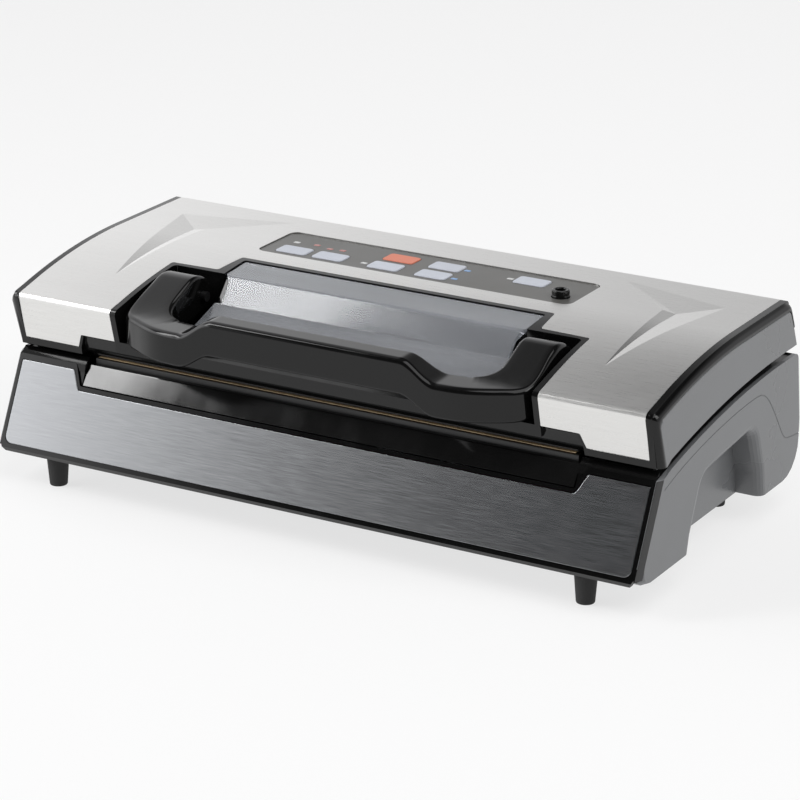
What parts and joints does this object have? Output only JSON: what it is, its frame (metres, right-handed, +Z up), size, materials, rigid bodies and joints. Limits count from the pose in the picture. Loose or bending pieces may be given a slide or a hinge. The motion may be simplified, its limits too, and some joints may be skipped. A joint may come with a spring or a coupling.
{
  "type": "vacuum sealer",
  "caption": "Countertop vacuum sealer with a hinged steel-topped lid, a lever handle over a viewing window, press keys, a sealing bar and side hand grips.",
  "frame": {"origin": "centre of the bounding box in plan, on the surface the feet stand on", "axes": "+X along the sealing bar to the right side grip, +Y to the rear hinge, +Z up"},
  "size_m": [0.42, 0.208, 0.129],
  "materials": {
    "base_shell": "satin grey moulded plastic",
    "front_frame": "gloss black",
    "front_steel_panel": "brushed along the width",
    "bag_ramp": "gloss black",
    "base_deck": "satin black",
    "seal_bar": "heat-proof black",
    "heating_strip": "thin resistance strip",
    "seal_tape": "amber coated glass cloth",
    "lower_gasket": "closed-cell foam",
    "drip_tray": "satin black",
    "vacuum_pump": "cast",
    "pump_motor": "zinc-plated can",
    "vacuum_hose": "clear silicone",
    "transformer": "laminations and coil",
    "release_valve": "black",
    "power_board": "circuit board",
    "power_inlet": "satin black",
    "microswitch_left": "black",
    "microswitch_right": "black",
    "latch_catch_left": "zinc-plated",
    "latch_catch_right": "zinc-plated",
    "hinge_bracket_left": "zinc-plated",
    "hinge_bracket_right": "zinc-plated",
    "hinge_pin_left": "ground",
    "hinge_pin_right": "ground",
    "foot_front_left": "moulded",
    "foot_front_right": "moulded",
    "foot_rear_left": "moulded",
    "foot_rear_right": "moulded",
    "lid_shell": "gloss black",
    "lid_cheek_left": "satin grey moulded plastic",
    "lid_cheek_right": "satin grey moulded plastic",
    "steel_cover": "brushed along the width",
    "window_frame": "gloss black",
    "viewing_window": "clear acrylic",
    "lid_liner": "satin black",
    "upper_gasket": "closed-cell foam",
    "pressure_strip": "silicone",
    "control_panel": "satin grey-brown",
    "control_board": "circuit board",
    "accessory_port": "satin black",
    "port_hose": "clear silicone",
    "hinge_arm_left": "satin black",
    "hinge_arm_right": "satin black",
    "handle": "gloss black",
    "latch_shaft_left": "ground",
    "latch_shaft_right": "ground",
    "latch_hook_left": "satin black",
    "latch_hook_right": "satin black",
    "key_food": "satin moulded",
    "key_seal_time": "satin moulded",
    "key_stop": "satin moulded",
    "key_pulse": "satin moulded",
    "key_vacuum": "satin moulded",
    "key_seal": "satin moulded",
    "key_canister": "satin moulded"
  },
  "bodies": {
    "base": {"base_shell": "base_shell", "front_frame": "front_frame", "front_steel_panel": "front_steel_panel", "bag_ramp": "bag_ramp", "base_deck": "base_deck", "seal_bar": "seal_bar", "heating_strip": "heating_strip", "seal_tape": "seal_tape", "lower_gasket": "lower_gasket", "drip_tray": "drip_tray", "vacuum_pump": "vacuum_pump", "pump_motor": "pump_motor", "vacuum_hose": "vacuum_hose", "transformer": "transformer", "release_valve": "release_valve", "power_board": "power_board", "power_inlet": "power_inlet", "microswitch_left": "microswitch_left", "microswitch_right": "microswitch_right", "latch_catch_left": "latch_catch_left", "latch_catch_right": "latch_catch_right", "hinge_bracket_left": "hinge_bracket_left", "hinge_bracket_right": "hinge_bracket_right", "hinge_pin_left": "hinge_pin_left", "hinge_pin_right": "hinge_pin_right", "foot_front_left": "foot_front_left", "foot_front_right": "foot_front_right", "foot_rear_left": "foot_rear_left", "foot_rear_right": "foot_rear_right"},
    "lid": {"lid_shell": "lid_shell", "lid_cheek_left": "lid_cheek_left", "lid_cheek_right": "lid_cheek_right", "steel_cover": "steel_cover", "window_frame": "window_frame", "viewing_window": "viewing_window", "lid_liner": "lid_liner", "upper_gasket": "upper_gasket", "pressure_strip": "pressure_strip", "control_panel": "control_panel", "control_board": "control_board", "accessory_port": "accessory_port", "port_hose": "port_hose", "hinge_arm_left": "hinge_arm_left", "hinge_arm_right": "hinge_arm_right"},
    "handle_body": {"handle": "handle", "latch_shaft_left": "latch_shaft_left", "latch_shaft_right": "latch_shaft_right", "latch_hook_left": "latch_hook_left", "latch_hook_right": "latch_hook_right"},
    "key_food_body": {"key_food": "key_food"},
    "key_seal_time_body": {"key_seal_time": "key_seal_time"},
    "key_stop_body": {"key_stop": "key_stop"},
    "key_pulse_body": {"key_pulse": "key_pulse"},
    "key_vacuum_body": {"key_vacuum": "key_vacuum"},
    "key_seal_body": {"key_seal": "key_seal"},
    "key_canister_body": {"key_canister": "key_canister"}
  },
  "joints": [
    {"name": "lid_hinge", "type": "hinge", "parent": "base", "child": "lid", "pos_m": [0, 0.09, 0.0985], "axis": [-1, 0, 0], "range_deg": [0, 60]},
    {"name": "handle_lever", "type": "hinge", "parent": "lid", "child": "handle_body", "pos_m": [0, -0.036, 0.111], "axis": [-1, 0, 0], "range_deg": [0, 30]},
    {"name": "key_food_press", "type": "slide", "parent": "lid", "child": "key_food_body", "axis": [0, 0, -1], "range_m": [0, 0.0006], "stiffness_N_per_m": 400, "springref_m": -0.001},
    {"name": "key_seal_time_press", "type": "slide", "parent": "lid", "child": "key_seal_time_body", "axis": [0, 0, -1], "range_m": [0, 0.0006], "stiffness_N_per_m": 400, "springref_m": -0.001},
    {"name": "key_stop_press", "type": "slide", "parent": "lid", "child": "key_stop_body", "axis": [0, 0, -1], "range_m": [0, 0.0006], "stiffness_N_per_m": 400, "springref_m": -0.001},
    {"name": "key_pulse_press", "type": "slide", "parent": "lid", "child": "key_pulse_body", "axis": [0, 0, -1], "range_m": [0, 0.0006], "stiffness_N_per_m": 400, "springref_m": -0.001},
    {"name": "key_vacuum_press", "type": "slide", "parent": "lid", "child": "key_vacuum_body", "axis": [0, 0, -1], "range_m": [0, 0.0006], "stiffness_N_per_m": 400, "springref_m": -0.001},
    {"name": "key_seal_press", "type": "slide", "parent": "lid", "child": "key_seal_body", "axis": [0, 0, -1], "range_m": [0, 0.0006], "stiffness_N_per_m": 400, "springref_m": -0.001},
    {"name": "key_canister_press", "type": "slide", "parent": "lid", "child": "key_canister_body", "axis": [0, 0, -1], "range_m": [0, 0.0006], "stiffness_N_per_m": 400, "springref_m": -0.001}
  ]
}
